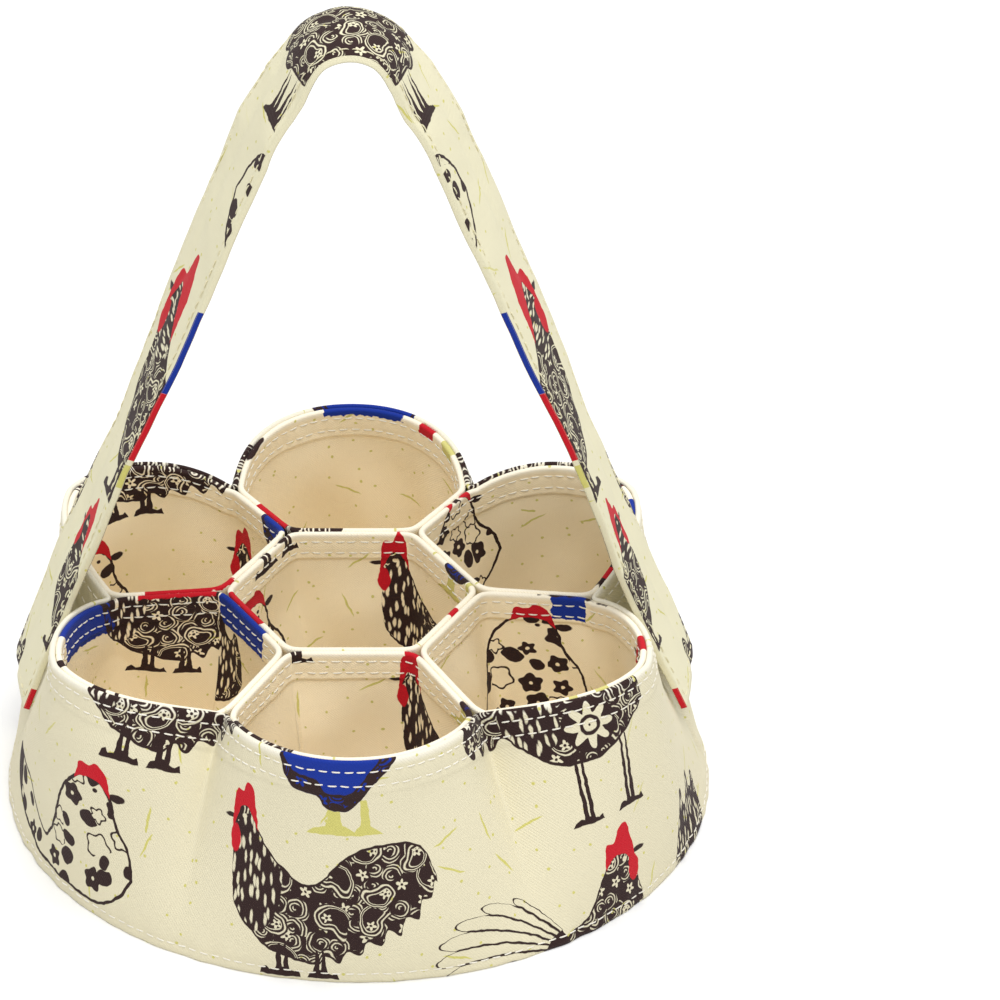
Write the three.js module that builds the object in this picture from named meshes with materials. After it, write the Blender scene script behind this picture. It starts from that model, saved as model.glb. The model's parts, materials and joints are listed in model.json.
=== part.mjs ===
// A seven-pocket egg collection basket sewn from printed cloth, with a strap handle.
// Millimetres, +Z up, +X to the right of someone who stands at -Y and looks along +Y.
// The basket stands on z = 0 with its middle on the Z axis.
import * as THREE from 'three';

// Honeycomb of pockets. Turns are in degrees, counter-clockwise from +X.
const CELL_SIDE = 42; // side of the centre hexagon
const CELL_TURN = 60; // turn from one outer pocket to the next
const VALLEY_RADIUS = 80; // where the rim is pinched in between two outer pockets
const LOBE_RADIUS = 110; // the rim's widest reach, in the middle of an outer pocket
const LOBE_POWER = 2; // how round a lobe is
const STRAP_SIDE_POWER = 1.2; // the flatter shoulder of a lobe that the strap is sewn across

// Outer wall and base.
const BASE_RADIUS = 117.5;
const BAND_HEIGHT = 80; // slant height of the wall's cloth band, the same all round
const CENTRE_RIM_HEIGHT = 73.5; // top of the centre pocket
const WALL_FLARE = 1.25; // how soon the scallops die away below the rim
const POCKET_FOOT_SCALE = 0.92; // a pocket narrows to this share of its mouth
const POCKET_FOOT_SPREAD = 5; // and an outer one leans out by this much at its foot

// Cloth, thread and the room between pieces.
const CLOTH = 1.4; // a doubled, hemmed ply
const GAP = 0.4;
const THREAD = 0.5;
const THREAD_GAP = 0.3;
const BASE_SEAM = 1.2; // between a base disc and the wall, which leans inwards above it

// Stitch rows, measured down from the rim or up from the base.
const RIM_ROWS = { rim_stitch_upper: 3.7, rim_stitch_lower: 8.5 };
const HEM_ROW = 5.5;
const BASE_ROW = 3.5;

// Strap handle: two straight legs and a round top, all in the XZ plane.
const STRAP_WIDTH = 36;
const STRAP_THICKNESS = 1.8;
const STRAP_TOP = 277;
const STRAP_TOP_RADIUS = 24.5;
const STRAP_LEAN = 21.5; // of a leg from upright
const STRAP_FOOT = 39; // height of the sewn end's lower edge
const STRAP_ROW = 2.5; // stitch row from the strap's edge
const PIVOT_HEIGHT = 93; // the strap bends about this line, just above the rim
const PIVOT_GAP = 0.5;
// Height and twist of the strap's face towards -Y, from the foot to the top.
const STRAP_TWIST = [[STRAP_FOOT, 6], [78, 8], [92, 15], [250, 14], [STRAP_TOP, 0]];

// How finely curves are cut.
const STEPS_PER_CELL = 16;
const WALL_STEPS = 6;
const STRAP_LEG_STEPS = 14;
const STRAP_END_STEPS = 6;
const STRAP_TOP_STEPS = 12;

const CREAM = 0xf2ebcb;
const LINING = 0xefdcbc;
const WHITE_THREAD = 0xfaf8f2;
const POCKET_NAMES = [
  'pocket_back_right', 'pocket_back', 'pocket_back_left',
  'pocket_front_left', 'pocket_front', 'pocket_front_right',
];

const radians = THREE.MathUtils.degToRad;
const { lerp, inverseLerp } = THREE.MathUtils;
const basket = new THREE.Group();

function cloth(color) {
  return new THREE.MeshStandardMaterial({ color, roughness: 0.85, metalness: 0, side: THREE.DoubleSide });
}

function addPiece(name, geometry, material) {
  const mesh = new THREE.Mesh(geometry, material);
  mesh.name = name;
  basket.add(mesh);
  return mesh;
}

function polar(radius, turn, z = 0) {
  return new THREE.Vector3(radius * Math.cos(radians(turn)), radius * Math.sin(radians(turn)), z);
}

// Joins cross-sections of equal point count into one closed body. Each section runs
// counter-clockwise about the direction of travel; a loop's last section meets its first.
function loft(sections, isLoop) {
  const count = sections[0].length;
  const positions = sections.flat().flatMap((point) => point.toArray());
  const triangles = [];
  const joins = isLoop ? sections.length : sections.length - 1;
  for (let i = 0; i < joins; i++) {
    const here = i * count;
    const there = ((i + 1) % sections.length) * count;
    for (let j = 0; j < count; j++) {
      const next = (j + 1) % count;
      triangles.push(here + j, here + next, there + next, here + j, there + next, there + j);
    }
  }
  if (!isLoop) {
    const last = (sections.length - 1) * count;
    for (let j = 1; j < count - 1; j++) {
      triangles.push(0, j + 1, j, last, last + j, last + j + 1);
    }
  }
  const geometry = new THREE.BufferGeometry();
  geometry.setAttribute('position', new THREE.Float32BufferAttribute(positions, 3));
  geometry.setIndex(triangles);
  geometry.computeVertexNormals();
  return geometry;
}

// A square thread beside a face: path points, and at each the direction away from the face.
function threadLoft(path, outwards, isLoop) {
  const last = path.length - 1;
  const sections = path.map((point, i) => {
    const before = path[isLoop ? (i + last) % path.length : Math.max(i - 1, 0)];
    const after = path[isLoop ? (i + 1) % path.length : Math.min(i + 1, last)];
    const along = after.clone().sub(before).normalize();
    const side = along.clone().cross(outwards[i]).normalize();
    const straight = after.clone().sub(point);
    const mitre = straight.length() > 0 ? straight.length() / straight.dot(along) : 1;
    const away = side.clone().cross(along).multiplyScalar(mitre);
    const middle = point.clone().addScaledVector(away, THREAD_GAP + THREAD / 2);
    return [[1, -1], [1, 1], [-1, 1], [-1, -1]].map(([u, v]) => middle.clone()
      .addScaledVector(away, u * THREAD / 2)
      .addScaledVector(side, v * THREAD / 2));
  });
  return loft(sections, isLoop);
}

// --- Outer wall ---

// Reach of the rim at a turn: six lobes, with flatter shoulders beside the strap at 0 and 180.
function rimRadius(turn) {
  const fromLobe = (((turn % CELL_TURN) + CELL_TURN) % CELL_TURN) / (CELL_TURN / 2) - 1;
  const cosine = Math.abs(Math.cos(radians(turn)));
  const isByStrap = cosine > Math.cos(radians(CELL_TURN / 2));
  const power = isByStrap ? STRAP_SIDE_POWER : LOBE_POWER;
  return LOBE_RADIUS - (LOBE_RADIUS - VALLEY_RADIUS) * Math.abs(fromLobe) ** power;
}

// Height of the cloth's top edge at a distance from the middle. Past the valleys the
// wall's band is as high everywhere, so it stands taller where it leans less.
function rimHeight(radius) {
  const wallHeight = (reach) => Math.sqrt(BAND_HEIGHT ** 2 - (BASE_RADIUS - reach) ** 2);
  if (radius >= VALLEY_RADIUS) {
    return wallHeight(radius);
  }
  const share = THREE.MathUtils.clamp(inverseLerp(CELL_SIDE, VALLEY_RADIUS, radius), 0, 1);
  return lerp(CENTRE_RIM_HEIGHT, wallHeight(VALLEY_RADIUS), share);
}

// A point of the wall; drop runs from 0 at the rim to 1 at the base, and depth goes inwards.
function wallPoint(turn, drop, depth = 0) {
  const rim = rimRadius(turn);
  const spread = 1 - (1 - drop) ** WALL_FLARE;
  return polar(lerp(rim, BASE_RADIUS, spread) - depth, turn, rimHeight(rim) * (1 - drop));
}

const turnsAround = Array.from(
  { length: 6 * STEPS_PER_CELL },
  (_, i) => (i * CELL_TURN) / STEPS_PER_CELL,
);

function addOuterWall() {
  const ring = (drop, depth) => turnsAround.map((turn) => wallPoint(turn, drop, depth));
  const drops = Array.from({ length: WALL_STEPS + 1 }, (_, i) => 1 - i / WALL_STEPS);
  const outer = drops.map((drop) => ring(drop, 0));
  const inner = drops.map((drop) => ring(drop, CLOTH)).reverse();
  addPiece('outer_wall', loft([...outer, ...inner], true), cloth(CREAM));
}

function addWallRow(name, drop) {
  const path = turnsAround.map((turn) => wallPoint(turn, drop));
  const above = turnsAround.map((turn) => wallPoint(turn, drop - 1 / WALL_STEPS / 2));
  const outwards = path.map((point, i) => {
    const before = path[(i + path.length - 1) % path.length];
    const after = path[(i + 1) % path.length];
    return after.clone().sub(before).cross(above[i].clone().sub(point));
  });
  addPiece(name, threadLoft(path, outwards, true), cloth(WHITE_THREAD));
}

// --- Base ---

function addDisc(name, radius, bottom, color) {
  const disc = new THREE.CylinderGeometry(radius, radius, CLOTH, turnsAround.length);
  disc.rotateX(Math.PI / 2).translate(0, 0, bottom + CLOTH / 2);
  addPiece(name, disc, cloth(color));
}

// --- Pockets ---

// The lines shared with the neighbours, around an outer pocket whose first wall is at a turn.
function outerCellLine(firstTurn) {
  const lastTurn = firstTurn + CELL_TURN;
  const lobe = Array.from({ length: STEPS_PER_CELL + 1 }, (_, i) => {
    const turn = lerp(firstTurn, lastTurn, i / STEPS_PER_CELL);
    return polar(rimRadius(turn) - CLOTH - GAP / 2, turn);
  });
  return [polar(CELL_SIDE, firstTurn), ...lobe, polar(CELL_SIDE, lastTurn)];
}

function centreCellLine() {
  return Array.from({ length: 6 }, (_, i) => polar(CELL_SIDE, i * CELL_TURN));
}

// Moves a counter-clockwise flat outline inwards by a distance, keeping its corners.
function inset(line, distance) {
  const up = new THREE.Vector3(0, 0, 1);
  return line.map((point, i) => {
    const before = line[(i + line.length - 1) % line.length];
    const after = line[(i + 1) % line.length];
    const inwardBefore = up.clone().cross(point.clone().sub(before)).normalize();
    const inwardAfter = up.clone().cross(after.clone().sub(point)).normalize();
    const middle = inwardBefore.clone().add(inwardAfter).normalize();
    return point.clone().addScaledVector(middle, distance / middle.dot(inwardBefore));
  });
}

// One pocket: a sleeve of cloth, open at the top and standing on the base lining.
function addPocket(name, line, middle) {
  const foot = 2 * CLOTH + 2 * GAP;
  const footMiddle = middle.clone().setLength(middle.length() > 0 ? middle.length() + POCKET_FOOT_SPREAD : 0);
  const atRim = (point) => point.clone().setZ(rimHeight(point.length()));
  const atFoot = (point) => point.clone().sub(middle).multiplyScalar(POCKET_FOOT_SCALE)
    .add(footMiddle).setZ(foot);
  const outer = inset(line, GAP / 2);
  const inner = inset(line, GAP / 2 + CLOTH);
  const sleeve = loft([outer.map(atFoot), outer.map(atRim), inner.map(atRim), inner.map(atFoot)], true);
  addPiece(name, sleeve, cloth(LINING));

  const down = (point) => {
    const rim = atRim(point);
    return rim.clone().lerp(atFoot(point), HEM_ROW / (rim.z - foot));
  };
  const row = inner.map(down);
  const inwards = row.map((point) => down(middle).sub(point));
  addPiece(`${name}_hem_stitch`, threadLoft(row, inwards, true), cloth(WHITE_THREAD));
}

// --- Strap handle ---

// The strap's middle line on the right-hand side (+X), by height.
function strapLine(z) {
  const topMiddle = STRAP_TOP - STRAP_TOP_RADIUS;
  const lean = radians(STRAP_LEAN);
  const legTop = topMiddle + STRAP_TOP_RADIUS * Math.sin(lean);
  if (z > legTop) {
    const x = Math.sqrt(Math.max(STRAP_TOP_RADIUS ** 2 - (z - topMiddle) ** 2, 0));
    return { x, slope: Math.asin(Math.min((z - topMiddle) / STRAP_TOP_RADIUS, 1)) };
  }
  return { x: STRAP_TOP_RADIUS * Math.cos(lean) + (legTop - z) * Math.tan(lean), slope: lean };
}

function twistAt(z) {
  const above = STRAP_TWIST.findIndex(([height]) => height >= z);
  const [lowZ, lowTwist] = STRAP_TWIST[Math.max(above - 1, 0)];
  const [highZ, highTwist] = STRAP_TWIST[above];
  return highZ > lowZ ? lerp(lowTwist, highTwist, (z - lowZ) / (highZ - lowZ)) : highTwist;
}

// The strap's place and directions at a height, on the side +1 (right) or -1 (left).
// Travel goes from the right foot over the top to the left foot.
function strapFrame(z, side) {
  const { x, slope } = strapLine(z);
  const travel = new THREE.Vector3(-Math.sin(slope), 0, side * Math.cos(slope));
  const across = new THREE.Vector3(0, 1, 0).applyAxisAngle(travel, -radians(twistAt(z)));
  const out = across.clone().cross(travel);
  return { middle: new THREE.Vector3(side * x, 0, z), travel, across, out };
}

function strapSection({ middle, across, out }, halfWidth) {
  return [[1, -1], [1, 1], [-1, 1], [-1, -1]].map(([u, v]) => middle.clone()
    .addScaledVector(out, u * STRAP_THICKNESS / 2)
    .addScaledVector(across, v * halfWidth));
}

// Frames of the moving strap, each with the half width that the round ends leave it.
function strapStations() {
  const half = STRAP_WIDTH / 2;
  const legTop = STRAP_TOP - STRAP_TOP_RADIUS * (1 - Math.sin(radians(STRAP_LEAN)));
  const heights = [];
  for (let i = 1; i <= STRAP_END_STEPS; i++) {
    heights.push(PIVOT_HEIGHT - half * Math.cos((i / STRAP_END_STEPS) * (Math.PI / 2)));
  }
  for (let i = 1; i <= STRAP_LEG_STEPS; i++) {
    heights.push(lerp(PIVOT_HEIGHT, legTop, i / STRAP_LEG_STEPS));
  }
  const topStart = radians(STRAP_LEAN);
  for (let i = 1; i < STRAP_TOP_STEPS; i++) {
    const slope = lerp(topStart, Math.PI / 2, i / STRAP_TOP_STEPS);
    heights.push(STRAP_TOP - STRAP_TOP_RADIUS * (1 - Math.sin(slope)));
  }
  const station = (z, side) => {
    const below = Math.max(PIVOT_HEIGHT - z, 0);
    return { ...strapFrame(z, side), halfWidth: Math.sqrt(half ** 2 - below ** 2) };
  };
  return [
    ...heights.map((z) => station(z, 1)),
    station(STRAP_TOP, 1),
    ...heights.reverse().map((z) => station(z, -1)),
  ];
}

function addHandle() {
  const stations = strapStations();
  const sections = stations.map((station) => strapSection(station, station.halfWidth));
  addPiece('handle_strap', loft(sections, false), cloth(CREAM));

  const wide = stations.filter(({ middle }) => middle.z >= PIVOT_HEIGHT);
  for (const [name, edge] of [['handle_stitch_back', 1], ['handle_stitch_front', -1]]) {
    const path = wide.map(({ middle, across, out }) => middle.clone()
      .addScaledVector(across, edge * (STRAP_WIDTH / 2 - STRAP_ROW))
      .addScaledVector(out, STRAP_THICKNESS / 2));
    addPiece(name, threadLoft(path, wide.map(({ out }) => out), false), cloth(WHITE_THREAD));
  }
}

// The flat end of the strap below its bend, sewn outside the wall, and its row of tacking.
function addSewnEnd(side, sideName) {
  const top = PIVOT_HEIGHT - STRAP_WIDTH / 2 - PIVOT_GAP;
  const frames = [STRAP_FOOT, top].map((z) => strapFrame(z, side));
  const ordered = side > 0 ? frames : frames.reverse();
  const sections = ordered.map((frame) => strapSection(frame, STRAP_WIDTH / 2));
  addPiece(`strap_end_${sideName}`, loft(sections, false), cloth(CREAM));

  const reach = STRAP_WIDTH / 2 - STRAP_ROW;
  const corner = (z, edge) => {
    const { middle, across, out } = strapFrame(z, side);
    return middle.addScaledVector(across, edge * reach).addScaledVector(out, STRAP_THICKNESS / 2);
  };
  const low = STRAP_FOOT + STRAP_ROW;
  const path = [corner(top, -side), corner(low, -side), corner(low, side), corner(top, side)];
  const outwards = path.map(({ z }) => strapFrame(z, side).out);
  addPiece(`strap_tack_${sideName}`, threadLoft(path, outwards, false), cloth(WHITE_THREAD));
}

// --- The basket ---

addDisc('base_panel', BASE_RADIUS - CLOTH - BASE_SEAM, 0, CREAM);
addDisc('base_lining', BASE_RADIUS - CLOTH - 2 * BASE_SEAM, CLOTH + GAP, LINING);
addOuterWall();
for (const [name, below] of Object.entries(RIM_ROWS)) {
  addWallRow(name, below / BAND_HEIGHT);
}
addWallRow('base_stitch', 1 - BASE_ROW / BAND_HEIGHT);

addPocket('pocket_centre', centreCellLine(), new THREE.Vector3());
POCKET_NAMES.forEach((name, i) => {
  const middle = polar(CELL_SIDE * Math.sqrt(3), (i + 0.5) * CELL_TURN);
  addPocket(name, outerCellLine(i * CELL_TURN), middle);
});

addHandle();
addSewnEnd(1, 'right');
addSewnEnd(-1, 'left');

export default basket;
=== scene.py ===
import functools
import json
import math
from collections import defaultdict

import bmesh
import bpy
import numpy as np
from mathutils import Matrix, Vector


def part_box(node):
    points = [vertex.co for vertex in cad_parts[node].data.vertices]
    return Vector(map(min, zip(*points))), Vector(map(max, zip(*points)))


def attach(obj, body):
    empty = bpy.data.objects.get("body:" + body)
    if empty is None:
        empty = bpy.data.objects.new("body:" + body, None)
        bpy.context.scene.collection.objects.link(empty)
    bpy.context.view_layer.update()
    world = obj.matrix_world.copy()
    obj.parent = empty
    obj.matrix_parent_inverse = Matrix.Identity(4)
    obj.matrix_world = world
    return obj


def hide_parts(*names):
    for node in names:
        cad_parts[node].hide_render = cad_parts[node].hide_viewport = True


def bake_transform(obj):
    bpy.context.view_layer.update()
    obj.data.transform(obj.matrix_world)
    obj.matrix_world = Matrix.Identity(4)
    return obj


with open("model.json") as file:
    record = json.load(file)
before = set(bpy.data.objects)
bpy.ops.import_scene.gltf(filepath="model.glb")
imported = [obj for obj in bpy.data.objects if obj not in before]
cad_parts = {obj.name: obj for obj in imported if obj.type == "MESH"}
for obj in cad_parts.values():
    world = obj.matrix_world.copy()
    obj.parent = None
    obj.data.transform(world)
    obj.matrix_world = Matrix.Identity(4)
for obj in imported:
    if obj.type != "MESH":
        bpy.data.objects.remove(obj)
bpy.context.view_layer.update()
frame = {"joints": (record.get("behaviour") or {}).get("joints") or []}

MM = 0.001
rng = np.random.default_rng(7)

# --- Driving sizes, read from the frame where it holds them ---

CELL_GAP = 0.23 * MM  # from the centre pocket's corner to the corner of its cell
LOBE_INSET = 7.5 * MM  # the rim's lobes reach less far than the base
VALLEY_PINCH = 4 * MM  # the seams pull the valleys in

BASE_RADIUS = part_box("outer_wall")[1].x
CELL_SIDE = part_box("pocket_centre")[1].x + CELL_GAP
LOBE_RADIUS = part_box("outer_wall")[1].y - LOBE_INSET
VALLEY_RADIUS = 2 * CELL_SIDE - VALLEY_PINCH
FOOT_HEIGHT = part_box("pocket_centre")[0].z
CENTRE_RIM_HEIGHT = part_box("pocket_centre")[1].z
BAND_HEIGHT = 80 * MM
CELL_TURN = 60
LOBE_POWER = 2.1  # roundness of the rim's lobes: 1 is straight
STRAP_SIDE_POWER = 1.25
WALL_FLARE = 1.25  # above 1, the wall spreads most near its rim
FOOT_SCALE = 0.92  # of a sleeve's foot, to its rim
FOOT_SPREAD = 5 * MM  # the outer sleeves' feet stand apart
CORNER_RADIUS = 1.6 * MM
SWAY = 2.6 * MM  # the soft rim stands this far to the left of the base

PLY = 0.9 * MM
HEM_DEPTH = 11 * MM
WALL_HEM = 1.9 * MM
SLEEVE_HEM = 2.1 * MM
RIM_ROWS = (3.7 * MM, 8.5 * MM)
BASE_ROW = 3.5 * MM

# How deep the cloth's uneven places are, and how far puckers reach from a row of stitches.
WALL_SLACK = 0.9 * MM
RIM_PUCKER = 0.16 * MM
BASE_PUCKER = 0.22 * MM
SLEEVE_PUCKER = 0.14 * MM
SLEEVE_FOLD = 1.7 * MM
SLEEVE_PLEAT = 1.1 * MM
PUCKER_REACH = 5 * MM
STITCH_DENT = 0.16 * MM
BASE_DENT = 0.35 * MM
FOOT_TURN_IN = 0.5 * MM
DENT_REACH = 1.2 * MM

# The pockets in the order of their turn, the centre one first, and where on the printed cloth
# each sleeve was cut, in millimetres.
POCKETS = (
    ("pocket_centre", (192, -14)), ("pocket_back_right", (244, -30)), ("pocket_back", (461, 60)),
    ("pocket_back_left", (174, 0)), ("pocket_front_left", (184, -45)), ("pocket_front", (335, -16)),
    ("pocket_front_right", (254, -20)),
)
PANEL_SPACING = 1000  # keeps the "Panel" coordinates of the sleeves apart

PIVOT_HEIGHT = frame["joints"][0]["pos_m"][2]
STRAP_WIDTH = 36 * MM
STRAP_THICKNESS = 2.4 * MM
STRAP_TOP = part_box("handle_strap")[1].z + 3.4 * MM  # before its front half droops
STRAP_TOP_RADIUS = 21.2 * MM
STRAP_LEAN = math.radians(21.5)
STRAP_FOOT = 39 * MM
STRAP_ROW = 2.5 * MM
STRAP_CROWN = 0.7 * MM
TACK_LENGTH = 34 * MM
# Heights in millimetres, each with the twist of the strap's face towards the front, in degrees,
# or with how far the strap stands to the left, in millimetres.
STRAP_TWIST = ((39, 6), (95, 8), (130, 4), (170, 10), (240, 12), (258, 3), (268, -8), (279, -16))
STRAP_SWAY = ((39, 1.3), (80, 2.6), (150, 1.8), (277, 3.1))
STRAP_DROOP = 9.4 * MM
DROOP_HEIGHT = 274 * MM
DROOP_REACH = 19.5 * MM

STITCH_PITCH = 4.0 * MM
STITCH_LENGTH = 3.1 * MM
STITCH_RADIUS = 0.27 * MM


def smooth_step(low, high, value):
    share = np.clip((value - low) / (high - low), 0, 1)
    return share * share * (3 - 2 * share)


def bell(value, middle, width):
    return np.exp(-(((value - middle) / width) ** 2))


def unit(vectors):
    return vectors / np.maximum(np.linalg.norm(vectors, axis=-1, keepdims=True), 1e-12)


def polar(radius, turn):
    angle = np.radians(turn)
    return np.stack([radius * np.cos(angle), radius * np.sin(angle)], axis=-1)


def waves(count, shortest, longest):
    """A seeded sum of smooth waves in two directions; its value stays around -1 to 1."""
    lengths = rng.uniform(shortest, longest, count)
    turns = rng.uniform(0, 2 * np.pi, count)
    phases = rng.uniform(0, 2 * np.pi, count)

    def value(x, y):
        parts = [
            np.sin(2 * np.pi * (x * math.cos(turn) + y * math.sin(turn)) / length + phase)
            for length, turn, phase in zip(lengths, turns, phases)
        ]
        return sum(parts) / math.sqrt(count)

    return value


# --- Outlines in plan ---

def spaced_loop(points, count):
    """The same closed line with count points evenly spaced along it."""
    closed = np.vstack([points, points[:1]])
    steps = np.linalg.norm(np.diff(closed, axis=0), axis=1)
    along = np.concatenate([[0], np.cumsum(steps)])
    at = np.linspace(0, along[-1], count, endpoint=False)
    return np.stack([np.interp(at, along, closed[:, k]) for k in range(points.shape[1])], axis=1)


def rounded_loop(points, radius):
    """A closed, evenly spaced line with its corners rounded by about a radius."""
    step = np.linalg.norm(points[1] - points[0])
    reach = max(int(3 * radius / step), 1)
    weights = bell(np.arange(-reach, reach + 1) * step, 0, radius)
    weights /= weights.sum()
    padded = np.vstack([points[-reach:], points, points[:reach]])
    return np.stack(
        [np.convolve(padded[:, k], weights, mode="valid") for k in range(points.shape[1])], axis=1
    )


def loop_length(points):
    return np.linalg.norm(np.roll(points, -1, axis=0) - points, axis=1).sum()


def rim_radius(turn):
    """The rim's reach: six lobes, with flatter shoulders beside the strap at 0 and 180."""
    from_lobe = np.abs((turn % CELL_TURN) / (CELL_TURN / 2) - 1)
    by_strap = np.abs(np.cos(np.radians(turn))) > math.cos(math.radians(CELL_TURN / 2))
    power = np.where(by_strap, STRAP_SIDE_POWER, LOBE_POWER)
    return LOBE_RADIUS - (LOBE_RADIUS - VALLEY_RADIUS) * from_lobe**power


def rim_height(radius):
    """The band is equally high all round, so it stands taller where it leans less."""
    def wall_height(reach):
        return np.sqrt(BAND_HEIGHT**2 - (BASE_RADIUS - reach) ** 2)

    share = np.clip((radius - CELL_SIDE) / (VALLEY_RADIUS - CELL_SIDE), 0, 1)
    inside = CENTRE_RIM_HEIGHT + (wall_height(VALLEY_RADIUS) - CENTRE_RIM_HEIGHT) * share
    return np.where(radius >= VALLEY_RADIUS, wall_height(np.maximum(radius, VALLEY_RADIUS)), inside)


# --- Meshes ---

def add_object(name, mesh, material=None):
    piece = bpy.data.objects.new(name, mesh)
    bpy.context.scene.collection.objects.link(piece)
    if material is not None:
        mesh.materials.append(material)
    return piece


def grid_mesh(name, points, panel_uv, cloth_uv, closed_rows=True, closed_columns=True):
    """A smooth mesh of four-sided faces from a grid of points. panel_uv is millimetres along and
    up the panel, and cloth_uv millimetres on the printed cloth that it was cut from; both have
    one more row or column than points where the grid closes on itself."""
    rows, columns = points.shape[:2]
    row = np.arange(rows if closed_rows else rows - 1)
    column = np.arange(columns if closed_columns else columns - 1)
    r, c = (a.ravel() for a in np.meshgrid(row, column, indexing="ij"))
    corner_rows = np.stack([r, r, r + 1, r + 1], axis=1)
    corner_columns = np.stack([c, c + 1, c + 1, c], axis=1)
    corners = (corner_rows % rows) * columns + corner_columns % columns
    mesh = bpy.data.meshes.new(name)
    mesh.vertices.add(rows * columns)
    mesh.vertices.foreach_set("co", points.reshape(-1).astype(np.float32))
    mesh.loops.add(corners.size)
    mesh.loops.foreach_set("vertex_index", corners.ravel().astype(np.int32))
    mesh.polygons.add(len(corners))
    mesh.polygons.foreach_set("loop_start", np.arange(0, corners.size, 4, dtype=np.int32))
    mesh.polygons.foreach_set("use_smooth", np.ones(len(corners), bool))
    for layer_name, uv in (("Cloth", cloth_uv), ("Panel", panel_uv)):
        layer = mesh.uv_layers.new(name=layer_name)
        corner_uv = uv[corner_rows, corner_columns]
        layer.data.foreach_set("uv", corner_uv.reshape(-1).astype(np.float32))
    mesh.update()
    mesh.validate()
    return mesh


def uv_grid(across, up):
    return np.stack(np.meshgrid(across, up, indexing="xy"), axis=-1)


def hem_profile(height, hem, lean, step=1.3 * MM):
    """Rows round the thickness of a hemmed panel, each as (height above the foot, offset from
    the middle of the cloth), up the outer face, over the folded edge and down the inner face.
    hem is the fold's thickness and lean the share of its extra thickness that stands outside."""
    thin = PLY / 2
    outside = (hem - PLY) * lean
    inside = (hem - PLY) * (1 - lean)
    edge = height - HEM_DEPTH
    up = np.linspace(0.2 * MM, edge - 0.5 * MM, int(height / step))
    fold = np.linspace(edge, height - hem / 2, 18)
    dimple = STITCH_DENT * sum(bell(fold, height - row, 0.8 * MM) for row in RIM_ROWS)
    rows = [(h, thin) for h in up]
    rows += list(zip(fold, thin + outside - dimple))
    for angle in np.linspace(0, math.pi, 9)[1:-1]:
        rows.append((height - hem / 2 * (1 - math.sin(angle)),
                     (outside - inside) / 2 + hem / 2 * math.cos(angle)))
    rows += list(zip(fold, -thin - inside + dimple))[::-1]
    rows += [(h, -thin) for h in up[::-1]]
    return np.array(rows)


def panel_line(surface, height, offset):
    """A line at a height of a panel, moved off the middle of its cloth, and its directions."""
    delta = 0.4 * MM
    middle = surface(height)
    rise = surface(height + delta) - surface(height - delta)
    along = np.roll(middle, -1, axis=0) - np.roll(middle, 1, axis=0)
    normals = unit(np.cross(along, rise))
    return middle + normals * offset, normals


def hemmed_panel(name, surface, length, profile, print_at, start=0, print_way=1):
    """A closed tube of cloth with its hem. surface(height) gives the middle of the cloth, start
    is where its "Panel" coordinate starts, print_at is where the panel was cut from the printed
    cloth, and print_way is -1 where the printed side faces the inside."""
    points = np.stack([panel_line(surface, height, offset)[0] for height, offset in profile])
    u = np.linspace(0, length / MM, points.shape[1] + 1)
    v = np.append(profile[:, 0], profile[0, 0]) / MM
    cloth_uv = uv_grid(print_at[0] + print_way * u, print_at[1] + v)
    return grid_mesh(name, points, uv_grid(start + u, v), cloth_uv)


# --- Outer wall ---

WALL_COLUMNS = 840
WALL_LENGTH = 2 * math.pi * BASE_RADIUS
WALL_PRINT_AT = (WALL_LENGTH / 2 / MM, 0)
wall_turns = np.arange(WALL_COLUMNS) * 360 / WALL_COLUMNS
rim_line = rounded_loop(polar(rim_radius(wall_turns) - WALL_HEM / 2, wall_turns), CORNER_RADIUS)
rim_reach = np.linalg.norm(rim_line, axis=1)
slack = waves(7, 45 * MM, 110 * MM)
pucker = waves(9, 5 * MM, 11 * MM)
base_pucker = waves(7, 7 * MM, 16 * MM)


def wall_surface(height):
    """The middle of the wall's cloth at a height along its band."""
    share = height / BAND_HEIGHT
    spread = 1 - np.clip(share, 0, 1) ** WALL_FLARE
    reach = rim_reach + (BASE_RADIUS - PLY / 2 - rim_reach) * spread
    along = np.radians(wall_turns) * BASE_RADIUS
    free = smooth_step(0, 0.2, share) * smooth_step(1, 0.75, share)
    by_rim_row = bell(height, BAND_HEIGHT - RIM_ROWS[1], PUCKER_REACH)
    reach = reach + WALL_SLACK * free * slack(along, height)
    reach = reach + RIM_PUCKER * by_rim_row * pucker(along, 0)
    reach = reach + BASE_PUCKER * bell(height, BASE_ROW, PUCKER_REACH) * base_pucker(along, 0)
    reach = reach - BASE_DENT * bell(height, BASE_ROW, DENT_REACH)
    reach = reach - FOOT_TURN_IN * bell(height, 0, DENT_REACH)
    flat = rim_line / rim_reach[:, None] * reach[:, None]
    return np.column_stack([flat[:, 0] - SWAY * share, flat[:, 1], rim_height(rim_reach) * share])


def add_outer_wall(material):
    profile = hem_profile(BAND_HEIGHT, WALL_HEM, 0.25)
    mesh = hemmed_panel("outer_wall_cloth", wall_surface, WALL_LENGTH, profile, WALL_PRINT_AT)
    wall = add_object("outer_wall_cloth", mesh, material)
    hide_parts("outer_wall")
    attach(wall, "basket")


# --- Pockets ---

SLEEVE_COLUMNS = 330


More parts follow.
